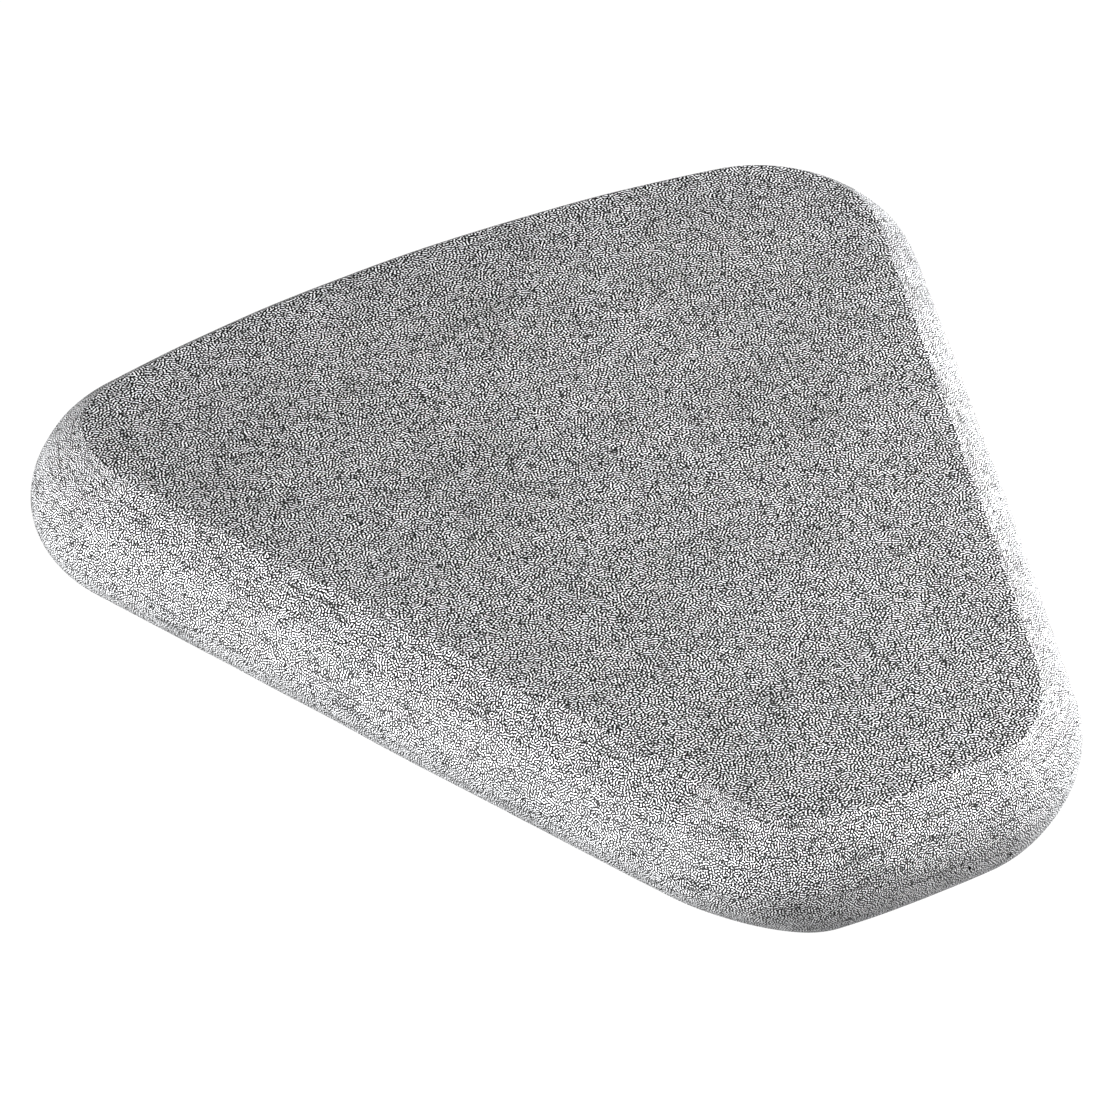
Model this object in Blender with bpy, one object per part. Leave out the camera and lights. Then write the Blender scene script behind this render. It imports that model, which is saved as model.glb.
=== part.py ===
"""Basalt massage stone: one piece of basalt, ground flat on both faces and rounded along its edge.

Seen from above it is a three-cornered slab whose tip is blunt: a broad end, two nearly straight
flanks and a short tip, joined by rounded corners. Units are metres and +Z is up. The origin is on
the surface that the stone lies on, under the middle of the outline. +Y points to the broad end,
-Y to the tip, and the left flank is the one at -X.
"""

import math
from dataclasses import dataclass

import bmesh
import bpy

# Outline, seen from above
OVERALL_WIDTH = 0.125  # across the corners of the broad end
OVERALL_LENGTH = 0.133  # from the middle of the broad end to the middle of the tip
TIP_WIDTH = 0.063  # across the corners of the tip
BROAD_CORNER_RADIUS = 0.021
TIP_CORNER_RADIUS = 0.022
BROAD_END_BOW = 0.230  # radius of the broad end's bow
TIP_END_BOW = 0.158  # radius of the tip's bow
FLANK_BOW = 5.0  # radius of the flanks' bow, which the eye reads as straight

# Height, and the rounding of the edge
THICKNESS = 0.018
BROAD_END_ROUNDING = 0.0053  # how far in from the outline the broad end's flat face stops
LEFT_FLANK_ROUNDING = 0.0090  # the broad, soft working edge
TIP_END_ROUNDING = 0.0035
RIGHT_FLANK_ROUNDING = 0.0056
EDGE_FULLNESS = 1.21  # height of the ellipse that the edge is an arc of, over the thickness

# Fineness of the faceted solid
CHORD_ERROR = 0.00003  # how far an outline arc may bulge past its chords
EDGE_STEPS = 18  # bands of faces between the lower and the upper flat face
CREASE_ANGLE = math.radians(18.0)  # sharper edges than this stay crisp when shaded

# Unpolished basalt: a mid grey with no sheen
BASALT_COLOUR = (0.33, 0.33, 0.326, 1.0)
BASALT_ROUGHNESS = 0.8
BASALT_METALLIC = 0.0


@dataclass(frozen=True)
class Corner:
    """A corner circle of the outline."""

    x: float
    y: float
    radius: float


@dataclass(frozen=True)
class Side:
    """A side of the outline: the radius of its bow and the width of its edge rounding."""

    bow: float
    rounding: float


@dataclass(frozen=True)
class OutlinePoint:
    """A point of the outline, held as its arc's centre and radius and its outward direction."""

    centre: tuple
    radius: float
    angle: float
    rounding: float

    def inset(self, depth, height):
        """Return the point moved in by depth and lifted to height."""
        reach = self.radius - depth
        x = self.centre[0] + reach * math.cos(self.angle)
        y = self.centre[1] + reach * math.sin(self.angle)
        return (x, y, height)


def end_corner_y(end_y, bow, corner_x, radius):
    """Return how far along Y a corner circle lies whose end's bow reaches end_y on the centre line."""
    return end_y - bow + math.sqrt((bow - radius) ** 2 - corner_x**2)


def outline_corners():
    """Return the four corner circles, counter-clockwise from the right corner of the broad end."""
    half_length = OVERALL_LENGTH / 2
    broad_x = OVERALL_WIDTH / 2 - BROAD_CORNER_RADIUS
    tip_x = TIP_WIDTH / 2 - TIP_CORNER_RADIUS
    broad_y = end_corner_y(half_length, BROAD_END_BOW, broad_x, BROAD_CORNER_RADIUS)
    tip_y = -end_corner_y(half_length, TIP_END_BOW, tip_x, TIP_CORNER_RADIUS)
    return (
        Corner(broad_x, broad_y, BROAD_CORNER_RADIUS),
        Corner(-broad_x, broad_y, BROAD_CORNER_RADIUS),
        Corner(-tip_x, tip_y, TIP_CORNER_RADIUS),
        Corner(tip_x, tip_y, TIP_CORNER_RADIUS),
    )


def outline_sides():
    """Return the four sides, each following the corner of the same place in outline_corners."""
    return (
        Side(BROAD_END_BOW, BROAD_END_ROUNDING),
        Side(FLANK_BOW, LEFT_FLANK_ROUNDING),
        Side(TIP_END_BOW, TIP_END_ROUNDING),
        Side(FLANK_BOW, RIGHT_FLANK_ROUNDING),
    )


def bow_centre(first, second, bow):
    """Return the centre of an arc of radius bow that touches two corner circles from outside."""
    run_x = second.x - first.x
    run_y = second.y - first.y
    run = math.hypot(run_x, run_y)
    to_first = bow - first.radius
    to_second = bow - second.radius
    along = (to_first**2 - to_second**2 + run**2) / (2 * run)
    inward = math.sqrt(to_first**2 - along**2)
    x = first.x + (run_x * along - run_y * inward) / run
    y = first.y + (run_y * along + run_x * inward) / run
    return (x, y)


def direction(centre, corner):
    """Return the angle at which a corner circle lies from a bow's centre."""
    return math.atan2(corner.y - centre[1], corner.x - centre[0])


def ease(share):
    """Return a share from 0 to 1 that starts and ends gently."""
    return share * share * (3 - 2 * share)


def arc_points(centre, radius, start, end, rounding_from, rounding_to):
    """Return an arc's points up to, but without, its end, with the edge rounding eased along it."""
    sweep = (end - start) % math.tau
    steps = math.ceil(sweep / (2 * math.acos(1 - CHORD_ERROR / radius)))
    points = []
    for step in range(steps):
        share = step / steps
        rounding = rounding_from + (rounding_to - rounding_from) * ease(share)
        points.append(OutlinePoint(centre, radius, start + sweep * share, rounding))
    return points


def outline_points():
    """Return the whole outline, counter-clockwise: each corner's arc and then its side's bow."""
    corners = outline_corners()
    sides = outline_sides()
    centres = [
        bow_centre(corners[i], corners[(i + 1) % len(corners)], sides[i].bow)
        for i in range(len(corners))
    ]
    points = []
    for i, corner in enumerate(corners):
        side = sides[i]
        start = direction(centres[i - 1], corner)
        turn = direction(centres[i], corner)
        end = direction(centres[i], corners[(i + 1) % len(corners)])
        place = (corner.x, corner.y)
        points += arc_points(place, corner.radius, start, turn, sides[i - 1].rounding, side.rounding)
        points += arc_points(centres[i], side.bow, turn, end, side.rounding, side.rounding)
    return points


def edge_rings(outline):
    """Return the rings of points up the edge, from the lower flat face to the upper one."""
    half_height = THICKNESS / 2
    ellipse_height = half_height * EDGE_FULLNESS
    crease = math.asin(half_height / ellipse_height)
    rings = []
    for step in range(EDGE_STEPS + 1):
        angle = crease * (2 * step / EDGE_STEPS - 1)
        share = (1 - math.cos(angle)) / (1 - math.cos(crease))
        height = half_height + ellipse_height * math.sin(angle)
        rings.append([point.inset(point.rounding * share, height) for point in outline])
    return rings


def add_ring(mesh, points):
    """Add a closed ring of edges through the points and return its edges."""
    verts = [mesh.verts.new(point) for point in points]
    return [mesh.edges.new(pair) for pair in zip(verts, verts[1:] + verts[:1])]


def basalt_material():
    """Return the stone's material."""
    material = bpy.data.materials.new("ground_basalt")
    material.use_nodes = True
    shader = material.node_tree.nodes["Principled BSDF"]
    shader.inputs["Base Color"].default_value = BASALT_COLOUR
    shader.inputs["Roughness"].default_value = BASALT_ROUGHNESS
    shader.inputs["Metallic"].default_value = BASALT_METALLIC
    material.diffuse_color = BASALT_COLOUR
    return material


def basalt_stone():
    """Add the stone: rings bridged up the edge, closed by the two flat faces."""
    mesh = bmesh.new()
    rings = [add_ring(mesh, points) for points in edge_rings(outline_points())]
    for lower, upper in zip(rings, rings[1:]):
        bmesh.ops.bridge_loops(mesh, edges=lower + upper)
    for rim in (rings[0], rings[-1]):
        bmesh.ops.contextual_create(mesh, geom=rim)
    bmesh.ops.recalc_face_normals(mesh, faces=mesh.faces)
    data = bpy.data.meshes.new("basalt_stone")
    mesh.to_mesh(data)
    mesh.free()
    data.shade_smooth()
    data.set_sharp_from_angle(angle=CREASE_ANGLE)
    data.materials.append(basalt_material())
    stone = bpy.data.objects.new("basalt_stone", data)
    bpy.context.scene.collection.objects.link(stone)
    return stone


def main():
    """Clear the scene and build the stone."""
    for old in list(bpy.data.objects):
        bpy.data.objects.remove(old, do_unlink=True)
    basalt_stone()


main()
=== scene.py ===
"""Looks of the basalt massage stone: its finely shaped body, its ground finish and the studio.

The stone is a three-cornered slab of dense basalt with a blunt tip. It is taken to be ground by hand
on a wheel, flat on its two faces and round at its edge, and neither polished nor oiled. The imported
solid gives the overall size; this script makes the fine surface around it: the ridge between face
and edge, the facets that the wheel left, the unevenness of hand work and the small gas pits.

Lengths are metres unless a name says otherwise, and +Z is up. +Y points to the broad end.
"""

from __future__ import annotations

import logging
import math
from dataclasses import dataclass, field
from enum import Enum
from functools import cached_property
from random import Random

import bmesh
import bpy
from bmesh.types import BMEdge, BMesh, BMVert
from mathutils import Euler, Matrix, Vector, noise


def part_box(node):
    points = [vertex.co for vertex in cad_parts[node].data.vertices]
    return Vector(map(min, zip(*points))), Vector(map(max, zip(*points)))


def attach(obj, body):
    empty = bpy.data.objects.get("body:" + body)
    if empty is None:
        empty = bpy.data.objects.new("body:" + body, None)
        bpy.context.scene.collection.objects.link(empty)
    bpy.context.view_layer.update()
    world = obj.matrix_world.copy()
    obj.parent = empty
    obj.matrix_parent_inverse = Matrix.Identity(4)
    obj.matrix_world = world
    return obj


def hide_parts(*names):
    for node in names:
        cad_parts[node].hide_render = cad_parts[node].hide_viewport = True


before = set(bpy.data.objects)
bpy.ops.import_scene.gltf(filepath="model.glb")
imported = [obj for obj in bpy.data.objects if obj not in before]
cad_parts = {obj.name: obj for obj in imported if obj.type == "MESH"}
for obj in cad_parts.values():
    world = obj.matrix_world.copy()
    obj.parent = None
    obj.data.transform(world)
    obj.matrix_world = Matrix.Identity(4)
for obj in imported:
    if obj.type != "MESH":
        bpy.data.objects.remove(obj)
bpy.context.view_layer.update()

MM = 0.001
NODE = "basalt_stone"
BODY = "root"
UP = Vector((0.0, 0.0, 1.0))

# The size of a normal's Z above which a mesh face counts as level.
LEVEL = 0.9999
# The least turn between two faces, in degrees, that makes the line between them a ridge.
RIDGE_TURN = 12.0
# The size of a normal's Z below which a place is plainly on the edge, and the one above which it is
# plainly on a face.
PLAINLY_EDGE = 0.8
PLAINLY_FACE = 0.995
# edge_share is 0 until a normal's Z has fallen short of 1 by SHARE_START, and 1 once it has fallen
# short by SHARE_SPAN more.
SHARE_START = 0.004
SHARE_SPAN = 0.05
# The edge_share above which a place is laid out with the edge.
STRIP_SHARE = 0.3
# How much being past an arc's end counts against the arc, next to being off its line.
PAST_END_WEIGHT = 10
# Values between which most of a noise texture lies.
NOISE_REACH = (0.25, 0.75)

log = logging.getLogger("basalt_stone")


def linear(hex_colour: str) -> tuple[float, float, float, float]:
    """Turn an sRGB hex colour into linear RGBA.

    Args:
        hex_colour: Six hex digits, with or without a leading hash.

    Returns:
        Linear red, green and blue, and an alpha of 1.
    """
    digits = hex_colour.lstrip("#")
    shares = [int(digits[i : i + 2], 16) / 255 for i in (0, 2, 4)]
    red, green, blue = (s / 12.92 if s <= 0.04045 else ((s + 0.055) / 1.055) ** 2.4 for s in shares)
    return (red, green, blue, 1.0)


def add_node(
    tree: bpy.types.NodeTree,
    kind: str,
    settings: dict[str, object] | None = None,
    inputs: dict[str | int, object] | None = None,
) -> bpy.types.Node:
    """Add a node, set its properties, and fill or link its inputs.

    Args:
        tree: The node tree that gets the node.
        kind: The node's type name.
        settings: Property names and values.
        inputs: Input names or places, each with a value or an output socket to link.

    Returns:
        The new node.
    """
    node = tree.nodes.new(kind)
    for name, value in (settings or {}).items():
        setattr(node, name, value)
    for name, value in (inputs or {}).items():
        if isinstance(value, bpy.types.NodeSocket):
            tree.links.new(value, node.inputs[name])
        else:
            node.inputs[name].default_value = value
    return node


def ease(share: float) -> float:
    """Return a share, held between 0 and 1, that starts and ends gently."""
    held = min(1.0, max(0.0, share))
    return held * held * (3 - 2 * held)


def heading(angle: float) -> Vector:
    """Return the level direction at an angle from +X."""
    return Vector((math.cos(angle), math.sin(angle), 0.0))


def bearing(centre: Vector, place: Vector) -> float:
    """Return the angle from +X at which a place lies from a centre."""
    return math.atan2(place.y - centre.y, place.x - centre.x)


class Flank(Enum):
    """A side of the outline, counter-clockwise from the broad end."""

    BROAD_END = 0
    LEFT = 1
    TIP = 2
    RIGHT = 3


@dataclass(frozen=True)
class Side:
    """A side of the outline.

    Attributes:
        bow: Radius of the side's curve.
        rounding: How far in from the outline the flat face stops.
        facet: How plainly the wheel's flats show, from 0 to 1.
        steps: Mesh steps along the side.
    """

    bow: float
    rounding: float
    facet: float
    steps: int


@dataclass(frozen=True)
class Corner:
    """A corner circle of the outline."""

    x: float
    y: float
    radius: float


@dataclass(frozen=True)
class Arc:
    """A stretch of the outline with one centre, from one side's edge finish to the next one's.

    Attributes:
        centre: The arc's centre.
        radius: The arc's radius.
        start: Angle at which it starts.
        sweep: Angle that it turns through.
        steps: Mesh steps along it.
        before: The side whose edge finish it starts with.
        after: The side whose edge finish it ends with.
    """

    centre: Vector
    radius: float
    start: float
    sweep: float
    steps: int
    before: Side
    after: Side


@dataclass(frozen=True)
class Station:
    """A place on the outline: the direction it faces, and its edge's rounding and facets."""

    outward: Vector
    rounding: float
    facet: float


@dataclass
class Outline:
    """The stone's outline seen from above: four corner circles joined by bowed sides.

    Attributes:
        width: Width across the corners of the broad end.
        length: Length from the middle of the broad end to the middle of the tip.
        tip_width: Width across the corners of the tip.
        broad_corner: Radius of the broad end's corners.
        tip_corner: Radius of the tip's corners.
        corner_steps: Mesh steps round each corner, an even number.
        sides: The sides in the order of Flank.
    """

    width: float
    length: float
    tip_width: float = 63 * MM
    broad_corner: float = 21 * MM
    tip_corner: float = 22 * MM
    corner_steps: int = 40
    sides: tuple[Side, Side, Side, Side] = (
        Side(bow=230 * MM, rounding=5.3 * MM, facet=0.3, steps=76),
        Side(bow=5000 * MM, rounding=9.0 * MM, facet=1.0, steps=90),
        Side(bow=158 * MM, rounding=3.5 * MM, facet=0.3, steps=76),
        Side(bow=5000 * MM, rounding=5.6 * MM, facet=0.3, steps=90),
    )

    def side(self, flank: Flank) -> Side:
        """Return one side of the outline."""
        return self.sides[flank.value]

    def corners(self) -> tuple[Corner, Corner, Corner, Corner]:
        """Return the corner circles, counter-clockwise from the right one of the broad end."""
        broad_x = self.width / 2 - self.broad_corner
        tip_x = self.tip_width / 2 - self.tip_corner
        broad_y = self._corner_y(self.side(Flank.BROAD_END).bow, broad_x, self.broad_corner)
        tip_y = -self._corner_y(self.side(Flank.TIP).bow, tip_x, self.tip_corner)
        return (
            Corner(broad_x, broad_y, self.broad_corner),
            Corner(-broad_x, broad_y, self.broad_corner),
            Corner(-tip_x, tip_y, self.tip_corner),
            Corner(tip_x, tip_y, self.tip_corner),
        )

    def _corner_y(self, bow: float, x: float, radius: float) -> float:
        """Return how far out a corner lies for its end's bow to reach half the length."""
        return self.length / 2 - bow + math.sqrt((bow - radius) ** 2 - x**2)

    @cached_property
    def arcs(self) -> list[Arc]:
        """Return the outline as arcs, counter-clockwise: each corner and then its side.

        Returns:
            Eight arcs that meet end to end with a common tangent.
        """
        corners = self.corners()
        count = len(corners)
        centres = [
            self._bow_centre(corners[i], corners[(i + 1) % count], self.sides[i].bow)
            for i in range(count)
        ]
        found = []
        for i, corner in enumerate(corners):
            place = Vector((corner.x, corner.y, 0.0))
            after = Vector((corners[(i + 1) % count].x, corners[(i + 1) % count].y, 0.0))
            start = bearing(centres[i - 1], place)
            turn = bearing(centres[i], place)
            end = bearing(centres[i], after)
            before, side = self.sides[i - 1], self.sides[i]
            sweep = (turn - start) % math.tau
            found.append(Arc(place, corner.radius, start, sweep, self.corner_steps, before, side))
            sweep = (end - turn) % math.tau
            found.append(Arc(centres[i], side.bow, turn, sweep, side.steps, side, side))
        return found

    @staticmethod
    def _bow_centre(first: Corner, second: Corner, bow: float) -> Vector:
        """Return the centre of the bow that touches two corner circles.

        Args:
            first: The corner that the bow leaves.
            second: The corner that it comes to.
            bow: The bow's radius.

        Returns:
            The bow's centre, on the stone's side of it.
        """
        run = Vector((second.x - first.x, second.y - first.y, 0.0))
        to_first = bow - first.radius
        to_second = bow - second.radius
        along = (to_first**2 - to_second**2 + run.length_squared) / (2 * run.length)
        inward = math.sqrt(to_first**2 - along**2)
        ahead = run.normalized()
        return Vector((first.x, first.y, 0.0)) + ahead * along + UP.cross(ahead) * inward

    def trace(self, mesh: BMesh, height: float) -> tuple[list[BMVert], list[Station]]:
        """Spin one vertex along every arc, and say what each vertex's edge is like.

        Args:
            mesh: The mesh that gets the ring.
            height: The ring's height.

        Returns:
            The ring's vertices in order, and a station for each of them.
        """
        arcs = self.arcs
        begin = arcs[0].centre + heading(arcs[0].start) * arcs[0].radius
        last = mesh.verts.new(begin + UP * height)
        ring = [last]
        stations = []
        for arc in arcs:
            made = bmesh.ops.spin(
                mesh,
                geom=[last],
                cent=arc.centre + UP * height,
                axis=UP,
                angle=arc.sweep,
                steps=arc.steps,
                use_duplicate=False,
            )
            mesh.verts.ensure_lookup_table()
            ring += mesh.verts[-arc.steps :]
            last = made["geom_last"][0]
            stations += [self._station(arc, step / arc.steps) for step in range(arc.steps)]
        bmesh.ops.pointmerge(mesh, verts=[ring[0], ring[-1]], merge_co=ring[0].co)
        return [vert for vert in ring if vert.is_valid], stations

    def unroll(self, place: Vector) -> tuple[float, float]:
        """Lay a place on or near the edge out flat.

        Args:
            place: The place.

        Returns:
            How far round the outline it lies, and how far in from it.
        """
        found = []
        run = 0.0
        for arc in self.arcs:
            reach = math.hypot(place.x - arc.centre.x, place.y - arc.centre.y)
            turn = bearing(arc.centre, place) - arc.start - arc.sweep / 2
            turn = (turn + math.pi) % math.tau - math.pi
            missed = max(0.0, abs(turn) - arc.sweep / 2) * reach
            inset = arc.radius - reach
            cost = abs(inset) + missed * PAST_END_WEIGHT
            found.append((cost, run + (turn + arc.sweep / 2) * arc.radius, inset))
            run += arc.sweep * arc.radius
        return min(found)[1:]

    def girth(self) -> float:
        """Return the outline's length."""
        return sum(arc.sweep * arc.radius for arc in self.arcs)

    @staticmethod
    def _station(arc: Arc, share: float) -> Station:
        """Return the station at a share of an arc, its edge finish eased along the arc."""
        blend = ease(share)
        rounding = arc.before.rounding + (arc.after.rounding - arc.before.rounding) * blend
        facet = arc.before.facet + (arc.after.facet - arc.before.facet) * blend
        return Station(heading(arc.start + arc.sweep * share), rounding, facet)


class PitPlace(Enum):
    """Where on the stone a gas pit opens; the value is the way it faces, up, out or down."""

    UPPER_FACE = 1.0
    EDGE = 0.0
    LOWER_FACE = -1.0


@dataclass(frozen=True)
class Pit:
    """A gas pit that grinding opened: its mouth's centre, the way it faces, radius and depth."""

    mouth: Vector
    facing: Vector
    radius: float
    depth: float


@dataclass
class StoneBody:
    """The stone's body: an edge ground round, closed by two flat faces.

    Attributes:
        outline: The outline seen from above.
        thickness: Height from face to face.
        fullness: Height of the ellipse that the edge is an arc of, over the thickness.
        edge_steps: Mesh steps from mid-height to a face.
        ridge_width: How far the worn ridge between face and edge reaches to each side.
        ridge_segments: Mesh steps across the ridge.
        flats: Where the wheel's flats meet, in degrees up the edge's ellipse; the rest is round.
        flat_wander: How far the flats' seams wander, in degrees.
        wander_length: Distance over which they wander.
        swell: Depth and width of each scale of hand-ground unevenness.
        pit_count: Number of pits for each place.
        pit_radius: Least and greatest radius of a pit's mouth.
        pit_depth: Least and greatest depth of a pit, over its radius.
        marked_pits: Where the pits that stand out most lie on the upper face, all of them large.
        marked_depth: Depth of those pits, over their radius.
        pit_raggedness: How far a pit's rim strays from a circle, as a share.
        pit_cuts: Cuts across each mesh edge round a pit.
        pit_margin: How far beyond a pit the finer mesh reaches.
        seed: Start of the pits' random draws.
        inset_share: Part of the inset which, added to the rise, comes close to the edge's true length.
        edge_fineness: How much larger the edge is laid out than it is, which makes its grains finer.
    """

    outline: Outline
    thickness: float
    fullness: float = 1.21
    edge_steps: int = 20
    ridge_width: float = 0.45 * MM
    ridge_segments: int = 3
    flats: tuple[float, ...] = (12.0, 32.0, 43.5, 55.7)
    flat_wander: float = 2.5
    wander_length: float = 20 * MM
    swell: tuple[tuple[float, float], ...] = (
        (0.16 * MM, 38 * MM),
        (0.07 * MM, 13 * MM),
        (0.02 * MM, 5 * MM),
    )
    pit_count: tuple[tuple[PitPlace, int], ...] = (
        (PitPlace.UPPER_FACE, 16),
        (PitPlace.EDGE, 14),
        (PitPlace.LOWER_FACE, 16),
    )
    pit_radius: tuple[float, float] = (0.3 * MM, 0.7 * MM)
    pit_depth: tuple[float, float] = (0.5, 0.9)
    marked_pits: tuple[tuple[float, float], ...] = (
        (15.7 * MM, 13.0 * MM),
        (-35.6 * MM, 38.9 * MM),
        (-37.8 * MM, 39.3 * MM),
        (-34.3 * MM, -11.6 * MM),
    )
    marked_depth: float = 0.6
    pit_raggedness: float = 0.5
    pit_cuts: int = 3
    pit_margin: float = 1.0 * MM
    seed: int = 17
    inset_share: float = 0.6
    edge_fineness: float = 1.15
    mesh: BMesh = field(default_factory=bmesh.new)

    def build(self) -> bpy.types.Object:
        """Model the body and link it to the scene.

        Returns:
            The stone's object, with its place in its mesh.
        """
        waist, stations = self.outline.trace(self.mesh, self.thickness / 2)
        rims = [self._raise_edge(waist, stations, side) for side in (1, -1)]
        for rim in rims:
            self._close_face(rim)
        bmesh.ops.recalc_face_normals(self.mesh, faces=self.mesh.faces)
        self._wear_ridges()
        self._grind_by_hand()
        self._open_pits()
        bmesh.ops.triangulate(self.mesh, faces=[f for f in self.mesh.faces if len(f.verts) > 4])
        self._unwrap()
        return self._finish()

    def _raise_edge(self, waist: list[BMVert], stations: list[Station], side: int) -> list[BMVert]:
        """Extrude the waist ring to a face, each step drawn in along the edge's profile.

        Args:
            waist: The ring at mid-height.
            stations: What the edge is like at each of its vertices.
            side: 1 for the upper face and -1 for the lower one.

        Returns:
            The rim of the face.
        """
        ring = waist
        start = [vert.co.copy() for vert in waist]
        crease = math.degrees(math.asin(1 / self.fullness))
        for step in range(1, self.edge_steps + 1):
            edges = ring_edges(ring)
            made = bmesh.ops.extrude_edge_only(self.mesh, edges=edges)
            fresh = {v for v in made["geom"] if isinstance(v, BMVert)}
            ring = [next(v for v in neighbours(old) if v in fresh) for old in ring]
            for vert, base, station in zip(ring, start, stations):
                angle = crease * step / self.edge_steps
                if side > 0:
                    inset, rise = self._profile(angle, station, base)
                else:
                    inset, rise = self._ellipse(angle, station.rounding)
                vert.co = base - station.outward * inset + UP * side * rise
        return ring

    def _profile(self, angle: float, station: Station, base: Vector) -> tuple[float, float]:
        """Return how far in and up the edge's upper half is at an angle of its ellipse.

        Args:
            angle: Degrees up the ellipse from mid-height.
            station: What the edge is like there.
            base: The waist's point, which says how far the flats' seams have wandered.

        Returns:
            The inset from the outline and the rise from mid-height.
        """
        inset, rise = self._ellipse(angle, station.rounding)
        wander = self.flat_wander * noise.noise(base / self.wander_length)
        seams = [self.flats[0], *(seam + wander for seam in self.flats[1:-1]), self.flats[-1]]
        for low, high in zip(seams, seams[1:]):
            if low <= angle <= high:
                share = (angle - low) / (high - low)
                inset_low, rise_low = self._ellipse(low, station.rounding)
                inset_high, rise_high = self._ellipse(high, station.rounding)
                flat_inset = inset_low + (inset_high - inset_low) * share
                flat_rise = rise_low + (rise_high - rise_low) * share
                inset += (flat_inset - inset) * station.facet
                rise += (flat_rise - rise) * station.facet
                break
        return inset, rise

    def _ellipse(self, angle: float, rounding: float) -> tuple[float, float]:
        """Return the inset and rise of the plain ellipse at an angle in degrees."""
        turn = math.radians(angle)
        crease = math.asin(1 / self.fullness)
        inset = rounding * (1 - math.cos(turn)) / (1 - math.cos(crease))
        return inset, self.thickness / 2 * self.fullness * math.sin(turn)

    def _close_face(self, rim: list[BMVert]) -> None:
        """Fill a rim with a grid whose lines run from the broad end to the tip."""
        half_corner = self.outline.corner_steps // 2
        side_steps = self.outline.side(Flank.LEFT).steps
        end_steps = self.outline.side(Flank.BROAD_END).steps + self.outline.corner_steps
        broad = rim[half_corner : half_corner + end_steps + 1]
        tip_start = half_corner + end_steps + side_steps + self.outline.corner_steps
        tip = rim[tip_start : tip_start + end_steps + 1]
        edges = chain_edges(broad) + chain_edges(tip)
        bmesh.ops.grid_fill(self.mesh, edges=edges, use_interp_simple=True)

    def _wear_ridges(self) -> None:
        """Round off the ridge between each face and the edge."""
        level = math.cos(math.radians(RIDGE_TURN))
        ridge = [
            edge
            for edge in self.mesh.edges
            if len(edge.link_faces) == 2
            and sum(abs(face.normal.z) > LEVEL for face in edge.link_faces) == 1
            and edge.link_faces[0].normal.dot(edge.link_faces[1].normal) < level
        ]
        bmesh.ops.bevel(
            self.mesh,
            geom=ridge,
            offset=self.ridge_width,
            offset_type="OFFSET",
            segments=self.ridge_segments,
            profile=0.5,
            affect="EDGES",
            clamp_overlap=True,
            material=-1,
        )

    def _grind_by_hand(self) -> None:
        """Sink the surface a little, by noise of a few widths, as grinding by hand leaves it."""
        self.mesh.normal_update()
        moves = []
        for vert in self.mesh.verts:
            sink = sum(depth * (0.5 + noise.noise(vert.co / width)) for depth, width in self.swell)
            moves.append(-vert.normal * max(0.0, sink))
        for vert, move in zip(self.mesh.verts, moves):
            vert.co += move

    def _open_pits(self) -> None:
        """Cut the mesh finer round each pit and press its hollow in."""
        depth_layer = self.mesh.verts.layers.float.new("pit_depth")
        for pit in self._pits():
            reach = pit.radius * 2 + self.pit_margin
            near = {vert for vert in self.mesh.verts if (vert.co - pit.mouth).length < reach}
            edges = {edge for vert in near for edge in vert.link_edges if edge.other_vert(vert) in near}
            made = bmesh.ops.subdivide_edges(
                self.mesh, edges=list(edges), cuts=self.pit_cuts, use_grid_fill=True
            )
            fresh = made["geom_inner"] + made["geom_split"]
            found = near | {part for part in fresh if isinstance(part, BMVert)}
            for vert in [vert for vert in found if vert.is_valid]:
                away = vert.co - pit.mouth
                ragged = 1 + self.pit_raggedness * noise.noise(away / pit.radius + pit.mouth / MM)
                hollow = 1 - ease(away.length / pit.radius * ragged)
                vert.co -= pit.facing * pit.depth * hollow
                # This layer also darkens the pit's colour in the material, a painted shade.
                vert[depth_layer] = max(vert[depth_layer], hollow)

    def _pits(self) -> list[Pit]:
        """Place the marked pits, and draw the others: each opens at a vertex of its place."""
        draw = Random(self.seed)
        verts = list(self.mesh.verts)
        face = [v for v in verts if self._belongs(v, PitPlace.UPPER_FACE)]
        pits = []
        for x, y in self.marked_pits:
            nearest = min(face, key=lambda v: math.hypot(v.co.x - x, v.co.y - y))
            mouth = Vector((x, y, nearest.co.z))
            radius = self.pit_radius[1]
            pits.append(Pit(mouth, nearest.normal.copy(), radius, radius * self.marked_depth))
        for place, count in self.pit_count:
            found = [v for v in verts if self._belongs(v, place)]
            for vert in draw.sample(found, count):
                least, most = self.pit_radius
                radius = least + (most - least) * draw.random() ** 2
                depth = radius * draw.uniform(*self.pit_depth)
                pits.append(Pit(vert.co.copy(), vert.normal.copy(), radius, depth))
        return pits

    @staticmethod
    def _belongs(vert: BMVert, place: PitPlace) -> bool:
        """Say whether a vertex lies plainly in a place."""
        if place is PitPlace.EDGE:
            return abs(vert.normal.z) < PLAINLY_EDGE
        return vert.normal.z * place.value > PLAINLY_FACE

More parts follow.
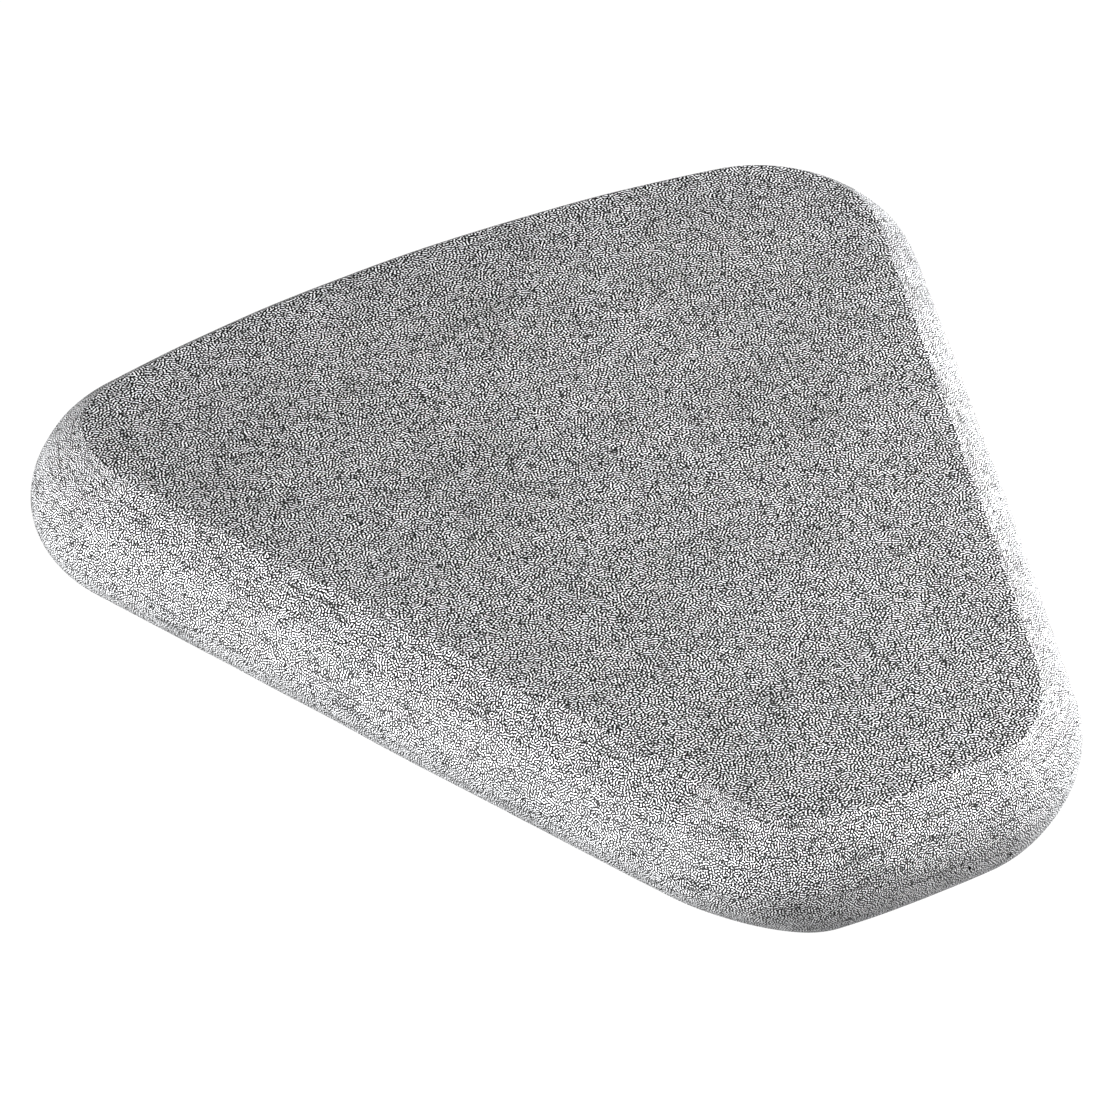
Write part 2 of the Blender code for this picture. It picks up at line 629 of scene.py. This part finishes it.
    def _unwrap(self) -> None:
        """Lay the surface out flat in metres, for the grain and the wheel's scratches.

        Each face is seen square on, and the edge is a strip that runs round the outline. The vertex
        layer edge_share is 1 on the edge and fades out over the ridge.
        """
        self.mesh.normal_update()
        share = self.mesh.verts.layers.float.new("edge_share")
        strip = {}
        for vert in self.mesh.verts:
            vert[share] = ease((1 - abs(vert.normal.z) - SHARE_START) / SHARE_SPAN)
            if vert[share] > STRIP_SHARE:
                run, inset = self.outline.unroll(vert.co)
                rise = vert.co.z - self.thickness / 2
                across = rise + math.copysign(inset * self.inset_share, rise)
                strip[vert] = (run * self.edge_fineness, across * self.edge_fineness)
        layer = self.mesh.loops.layers.uv.new("laid_out")
        girth = self.outline.girth() * self.edge_fineness
        for face in self.mesh.faces:
            if all(vert in strip for vert in face.verts):
                runs = [strip[loop.vert][0] for loop in face.loops]
                wraps = max(runs) - min(runs) > girth / 2
                for loop, run in zip(face.loops, runs):
                    shifted = run + girth if wraps and run < girth / 2 else run
                    loop[layer].uv = (shifted, strip[loop.vert][1])
            else:
                aside = 0.0 if face.normal.z > 0 else self.outline.width * 2
                for loop in face.loops:
                    loop[layer].uv = (loop.vert.co.x + aside, loop.vert.co.y)

    def _finish(self) -> bpy.types.Object:
        """Write the mesh to a smooth-shaded object."""
        data = bpy.data.meshes.new("ground_stone")
        self.mesh.to_mesh(data)
        self.mesh.free()
        data.shade_smooth()
        stone = bpy.data.objects.new("ground_stone", data)
        bpy.context.scene.collection.objects.link(stone)
        return stone


def neighbours(vert: BMVert) -> list[BMVert]:
    """Return the vertices that share an edge with a vertex."""
    return [edge.other_vert(vert) for edge in vert.link_edges]


def chain_edges(verts: list[BMVert]) -> list[BMEdge]:
    """Return the edges that join each vertex to the next."""
    return [next(e for e in a.link_edges if e.other_vert(a) is b) for a, b in zip(verts, verts[1:])]


def ring_edges(verts: list[BMVert]) -> list[BMEdge]:
    """Return the edges of a closed ring of vertices."""
    return chain_edges(verts + verts[:1])


@dataclass(frozen=True)
class Patches:
    """Slow changes of tone: their size, how much they change it, and their noise's detail."""

    size_mm: float
    depth: float
    detail: float


@dataclass(frozen=True)
class GroundBasalt:
    """Basalt, the dense lava of hot massage stones, ground on a fine wheel and left unpolished.

    The wheel breaks the surface of every mineral grain, so hardly anything shines: pale feldspar laths
    and near-black pyroxene grains stand side by side in a grey glassy mass, and the stone reads as a
    matt grey speckle. The edge is painted paler than the faces high up, a painted light, and a little
    darker low down, a painted shade. It is taken to have been held to the wheel for longer, which would
    leave scratches along it and close its pores a little for a slight sheen.

    Attributes:
        stops: Places and colours of the near-black pyroxene, the grey glass and the pale feldspar.
        grain_mm: Spacing of the grains; the finest real ones are too small to show, so none are drawn.
        grain_order: How evenly the grains are spaced.
        cloud: The broad changes of tone.
        mottle: The patches that are a little richer in one mineral.
        wheel_mm: Length and spacing of the wheel's scratches along the edge, as it is laid out.
        wheel_reach: Noise values at which a scratch is darkest and at which it ends.
        wheel_depth: How much a scratch darkens the tone.
        painted_edge_shade_and_light: Painted brightness of the edge, a painted shade low down and a painted
            light high up.
        painted_light_rise_mm: Heights between which the edge's painted light grows.
        pit_painted_shade: Share of the light that comes out of a pit.
        roughness: Roughness of the ground surface.
        face_shine: Specular level of the broken grains, low so that a sheen never hides the speckle.
        burnish: How far the wheel closed the edge's pores, which gives it a slight sheen.
        burnish_roughness: Roughness of that sheen.
        ior: Index of refraction, between those of glass and feldspar.
        relief_mm: Height of the grains above the mass.
        relief_strength: Share of that height which the shading shows.
    """

    # The pyroxene gives the near-black specks, the glass the grey between, and the feldspar the sparkle.
    stops: tuple[tuple[float, str], ...] = ((0.505, "#020202"), (0.540, "#4a4a4a"), (0.600, "#d3d4d6"))
    grain_mm: float = 0.42
    grain_order: float = 2.0
    cloud: Patches = Patches(size_mm=22.0, depth=0.07, detail=1.0)
    mottle: Patches = Patches(size_mm=5.0, depth=0.1, detail=2.0)
    wheel_mm: tuple[float, float] = (11.0, 0.6)
    wheel_reach: tuple[float, float] = (0.32, 0.46)
    wheel_depth: float = 0.5
    # Painted shade low on the edge and painted light high on it, by height.
    painted_edge_shade_and_light: tuple[float, float] = (0.97, 1.36)
    painted_light_rise_mm: tuple[float, float] = (7.0, 13.0)
    # Painted shade in the pits.
    pit_painted_shade: float = 0.45
    roughness: float = 0.9
    face_shine: float = 0.1
    burnish: float = 0.15
    burnish_roughness: float = 0.4
    ior: float = 1.56
    relief_mm: float = 0.03
    relief_strength: float = 0.6

    def material(self) -> bpy.types.Material:
        """Build the material.

        Returns:
            The node material, which reads Object coordinates, the laid_out UV map and the vertex layers.
        """
        made = bpy.data.materials.new("ground_basalt")
        made.use_nodes = True
        tree = made.node_tree
        laid_out = add_node(tree, "ShaderNodeUVMap", {"uv_map": "laid_out"}).outputs["UV"]
        edge = add_node(tree, "ShaderNodeAttribute", {"attribute_name": "edge_share"}).outputs["Fac"]
        scale = 1 / (self.grain_mm * self.grain_order * MM)
        grain = add_node(
            tree,
            "ShaderNodeTexGabor",
            {"gabor_type": "2D"},
            {"Vector": laid_out, "Scale": scale, "Frequency": self.grain_order, "Anisotropy": 0.0},
        ).outputs["Value"]
        tone = add_node(tree, "ShaderNodeValToRGB", inputs={0: grain})
        self._fill_ramp(tone.color_ramp, self.stops)
        # The grain's colour times the slow tone changes, which include painted light and shade.
        worn_and_painted = add_node(
            tree,
            "ShaderNodeMix",
            {"data_type": "RGBA", "blend_type": "MULTIPLY"},
            {0: 1.0, 6: tone.outputs["Color"], 7: self._wear_and_painted_light(tree, laid_out, edge)},
        )
        bump = add_node(
            tree,
            "ShaderNodeBump",
            inputs={"Strength": self.relief_strength, "Distance": self.relief_mm * MM, "Height": grain},
        )
        shader = tree.nodes["Principled BSDF"]
        tree.links.new(worn_and_painted.outputs[2], shader.inputs["Base Color"])
        tree.links.new(bump.outputs["Normal"], shader.inputs["Normal"])
        shader.inputs["Roughness"].default_value = self.roughness
        shader.inputs["IOR"].default_value = self.ior
        shader.inputs["Specular IOR Level"].default_value = self.face_shine
        tree.links.new(self._product(tree, edge, self.burnish), shader.inputs["Coat Weight"])
        shader.inputs["Coat Roughness"].default_value = self.burnish_roughness
        return made

    def _wear_and_painted_light(
        self, tree: bpy.types.NodeTree, laid_out: bpy.types.NodeSocket, edge: bpy.types.NodeSocket
    ) -> bpy.types.NodeSocket:
        """Return the slow changes of tone.

        Args:
            tree: The material's nodes.
            laid_out: The map of the surface laid out flat.
            edge: 1 on the edge and 0 on the faces.

        Returns:
            The product of the clouds, the mottling, the edge's scratches, the pits' painted shade and the
            edge's painted light and shade.
        """
        length, spacing = self.wheel_mm
        stretched = add_node(
            tree,
            "ShaderNodeMapping",
            inputs={"Vector": laid_out, "Scale": (1 / (length * MM), 1 / (spacing * MM), 0.0)},
        ).outputs[0]
        inputs = {"Vector": stretched, "Scale": 1.0, "Detail": 1.0}
        streaks = add_node(tree, "ShaderNodeTexNoise", inputs=inputs)
        deepest, end = self.wheel_reach
        inputs = {0: streaks.outputs[0], 1: deepest, 2: end, 3: 1 - self.wheel_depth, 4: 1.0}
        scratches = add_node(tree, "ShaderNodeMapRange", inputs=inputs).outputs[0]
        on_edge = add_node(tree, "ShaderNodeMix", {"data_type": "FLOAT"}, {0: edge, 2: 1.0, 3: scratches})
        # Painted shade: a pit's colour is darkened by its depth.
        pit = add_node(tree, "ShaderNodeAttribute", {"attribute_name": "pit_depth"}).outputs["Fac"]
        shade = add_node(tree, "ShaderNodeMapRange", inputs={0: pit, 3: 1.0, 4: self.pit_painted_shade})
        total = self._product(tree, on_edge.outputs[0], shade.outputs[0])
        # Painted light and shade on the edge, by height.
        total = self._product(tree, total, self._paint_edge_shading(tree, edge))
        for patches in (self.cloud, self.mottle):
            total = self._product(tree, total, self._patches(tree, patches))
        return total

    def _paint_edge_shading(self, tree: bpy.types.NodeTree, edge: bpy.types.NodeSocket) -> bpy.types.NodeSocket:
        """Return the painted light and shade on the edge, darker low down and paler high up, and 1 on the
        faces.
        """
        place = add_node(tree, "ShaderNodeTexCoord").outputs["Object"]
        height = add_node(tree, "ShaderNodeSeparateXYZ", inputs={0: place}).outputs["Z"]
        # Painted shade below these heights and painted light above them.
        low, high = self.painted_light_rise_mm
        inputs = {0: height, 1: low * MM, 2: high * MM, 3: self.painted_edge_shade_and_light[0], 4: self.painted_edge_shade_and_light[1]}
        tone = add_node(tree, "ShaderNodeMapRange", inputs=inputs).outputs[0]
        mixed = add_node(tree, "ShaderNodeMix", {"data_type": "FLOAT"}, {0: edge, 2: 1.0, 3: tone})
        return mixed.outputs[0]

    def _patches(self, tree: bpy.types.NodeTree, patches: Patches) -> bpy.types.NodeSocket:
        """Return patches of tone that run through the stone."""
        place = add_node(tree, "ShaderNodeTexCoord").outputs["Object"]
        inputs = {"Vector": place, "Scale": 1 / (patches.size_mm * MM), "Detail": patches.detail}
        lumps = add_node(tree, "ShaderNodeTexNoise", inputs=inputs)
        return self._spread(tree, lumps.outputs[0], patches.depth)

    @staticmethod
    def _spread(
        tree: bpy.types.NodeTree, share: bpy.types.NodeSocket, depth: float
    ) -> bpy.types.NodeSocket:
        """Return noise spread to a depth round 1."""
        low, high = NOISE_REACH
        inputs = {0: share, 1: low, 2: high, 3: 1 - depth, 4: 1 + depth}
        return add_node(tree, "ShaderNodeMapRange", inputs=inputs).outputs[0]

    @staticmethod
    def _product(
        tree: bpy.types.NodeTree, first: bpy.types.NodeSocket, second: bpy.types.NodeSocket | float
    ) -> bpy.types.NodeSocket:
        """Return the product of two values."""
        return add_node(tree, "ShaderNodeMath", {"operation": "MULTIPLY"}, {0: first, 1: second}).outputs[0]

    @staticmethod
    def _fill_ramp(ramp: bpy.types.ColorRamp, stops: tuple[tuple[float, str], ...]) -> None:
        """Set a ramp's stops from places and hex colours."""
        while len(ramp.elements) < len(stops):
            ramp.elements.new(0.5)
        for element, (place, colour) in zip(ramp.elements, stops):
            element.position = place
            element.color = linear(colour)


@dataclass(frozen=True)
class Softbox:
    """A softbox that faces the stone.

    Attributes:
        name: The light's name.
        swing: Degrees counter-clockwise from the camera's right, seen from above.
        lift: Degrees above the table.
        distance: From the stone to the softbox.
        width: Its level side.
        height: Its other side.
        power: Watts.
    """

    name: str
    swing: float
    lift: float
    distance: float
    width: float
    height: float
    power: float


@dataclass
class Studio:
    """The table, the softboxes and the camera.

    Attributes:
        azimuth: The camera's bearing, in degrees: 0 looks along +Y and 90 along -X.
        elevation: The camera's height above the table, in degrees.
        distance: From the camera to what it looks at.
        lens: Focal length in millimetres on a sensor 36 mm wide.
        aim: What the camera looks at, from under the middle of the stone.
        table_radius: Radius of the white table.
        table_drop: How far the table lies below the stone, so that their surfaces never touch.
        table_glow: How brightly the table shines of itself, as a light table does.
        table_colour: Its acrylic with the light off, dim enough that it throws little light back.
        softboxes: The lights.
    """

    azimuth: float = -30.6
    elevation: float = 38.3
    distance: float = 1.276
    lens: float = 331.0
    aim: Vector = field(default_factory=lambda: Vector((-9.1 * MM, 7.3 * MM, 9.0 * MM)))
    table_radius: float = 3.0
    table_drop: float = 0.05 * MM
    table_glow: float = 1.0
    table_colour: str = "#303030"
    softboxes: tuple[Softbox, ...] = (
        Softbox("left_softbox", -147, 10, 0.40, 0.20, 0.13, 2.2),
        Softbox("near_left_softbox", -135, 10, 0.40, 0.20, 0.13, 0.41),
        Softbox("left_upper_softbox", -142, 30, 0.40, 0.20, 0.20, 1.5),
        Softbox("right_softbox", -8, 12, 0.28, 0.16, 0.11, 0.7),
        Softbox("right_upper_softbox", -5, 30, 0.36, 0.20, 0.20, 2.2),
        Softbox("far_right_softbox", 20, 30, 0.36, 0.20, 0.20, 1.45),
    )

    def build(self) -> None:
        """Set up the table, the lights and the camera."""
        self._lay_table()
        for box in self.softboxes:
            self._hang(box)
        self._place_camera()
        world = bpy.data.worlds.new("dark_room")
        world.use_nodes = True
        world.node_tree.nodes["Background"].inputs["Strength"].default_value = 0.0
        bpy.context.scene.world = world
        bpy.context.scene.view_settings.view_transform = "Standard"

    def _lay_table(self) -> None:
        """Lay a round light table of opal acrylic, lit from below."""
        mesh = bmesh.new()
        bmesh.ops.create_circle(mesh, cap_ends=True, segments=96, radius=self.table_radius)
        bmesh.ops.translate(mesh, verts=mesh.verts, vec=-UP * self.table_drop)
        data = bpy.data.meshes.new("white_table")
        mesh.to_mesh(data)
        mesh.free()
        table = bpy.data.objects.new("white_table", data)
        bpy.context.scene.collection.objects.link(table)
        opal = bpy.data.materials.new("opal_acrylic")
        opal.use_nodes = True
        shader = opal.node_tree.nodes["Principled BSDF"]
        shader.inputs["Base Color"].default_value = linear(self.table_colour)
        shader.inputs["Roughness"].default_value = 0.9
        shader.inputs["Specular IOR Level"].default_value = 0.0
        shader.inputs["Emission Color"].default_value = linear("#ffffff")
        shader.inputs["Emission Strength"].default_value = self.table_glow
        data.materials.append(opal)

    def _hang(self, box: Softbox) -> None:
        """Hang a softbox, aimed at the stone and unseen by the camera."""
        lamp = bpy.data.lights.new(box.name, "AREA")
        lamp.shape = "RECTANGLE"
        lamp.size = box.width
        lamp.size_y = box.height
        lamp.energy = box.power
        light = bpy.data.objects.new(box.name, lamp)
        level = heading(math.radians(box.swing + self.azimuth))
        lift = math.radians(box.lift)
        light.location = (level * math.cos(lift) + UP * math.sin(lift)) * box.distance
        light.rotation_euler = (-light.location).to_track_quat("-Z", "Y").to_euler()
        light.visible_camera = False
        bpy.context.scene.collection.objects.link(light)

    def _place_camera(self) -> None:
        """Place the camera and make it the scene's."""
        lens = bpy.data.cameras.new("camera")
        lens.lens = self.lens
        lens.sensor_width = 36.0
        lens.clip_start = 0.05
        camera = bpy.data.objects.new("camera", lens)
        turn = Euler((math.radians(90 - self.elevation), 0.0, math.radians(self.azimuth)))
        camera.rotation_euler = turn
        camera.location = self.aim + turn.to_matrix() @ (UP * self.distance)
        bpy.context.scene.collection.objects.link(camera)
        bpy.context.scene.camera = camera


def main() -> None:
    """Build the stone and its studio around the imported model."""
    low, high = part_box(NODE)
    outline = Outline(width=high.x - low.x, length=high.y - low.y)
    body = StoneBody(outline=outline, thickness=high.z - low.z)
    stone = body.build()
    stone.data.materials.append(GroundBasalt().material())
    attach(stone, BODY)
    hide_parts(NODE)
    log.info("%s: %d faces", stone.name, len(stone.data.polygons))
    Studio().build()


if __name__ == "__main__":
    logging.basicConfig(level=logging.INFO, format="%(name)s: %(message)s")
    main()
